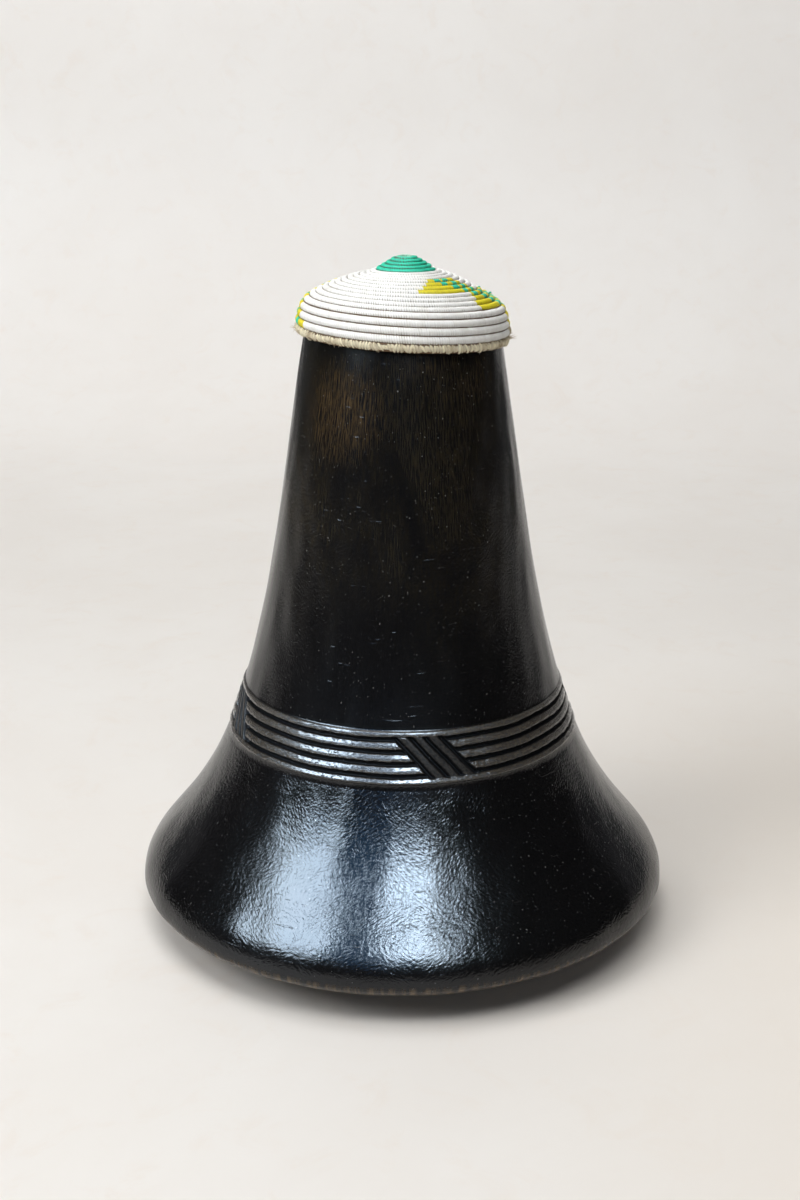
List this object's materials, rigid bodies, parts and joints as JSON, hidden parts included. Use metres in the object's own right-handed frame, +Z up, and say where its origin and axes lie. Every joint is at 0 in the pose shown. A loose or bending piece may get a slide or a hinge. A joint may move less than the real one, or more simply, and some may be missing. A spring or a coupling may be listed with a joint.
{
  "type": "lidded wooden milk jug",
  "caption": "Tall bell-shaped jug carved from one block of blackened wood, with a carved band round its waist and a pointed coiled basket lid that lifts off its mouth.",
  "frame": {"origin": "middle of the flat foot, on the surface that the jug stands on", "axes": "+Z up along the jug's axis; -Y towards the front, where the carved panel and the start of the yellow steps are seen; +X to the right of the front"},
  "size_m": [0.2494, 0.2494, 0.309],
  "materials": {
    "blackened_wood": "smoke-blackened wood rubbed with fat, semi-gloss over fine tool marks, worn to dark brown at the edges",
    "white_strand": "matt off-white strand stitched closely over a grass coil",
    "green_strand": "slightly shiny sea-green strand stitched closely over a grass coil",
    "yellow_strand": "slightly shiny yellow strand stitched closely over a grass coil",
    "bare_fibre": "coarse undyed plant fibre, frayed and matt"
  },
  "bodies": {
    "jug": {"jug_body": "blackened_wood"},
    "lid": {"lid_green_centre": "green_strand", "lid_white_coil": "white_strand", "lid_yellow_step_1": "yellow_strand", "lid_yellow_step_2": "yellow_strand", "lid_yellow_step_3": "yellow_strand", "lid_yellow_step_4": "yellow_strand", "lid_yellow_step_5": "yellow_strand", "lid_yellow_step_6": "yellow_strand", "lid_rim_binding": "bare_fibre"}
  },
  "joints": [
    {"name": "lid_lift", "type": "slide", "parent": "jug", "child": "lid", "axis": [0, 0, 1], "range_m": [0, 0.12]}
  ]
}
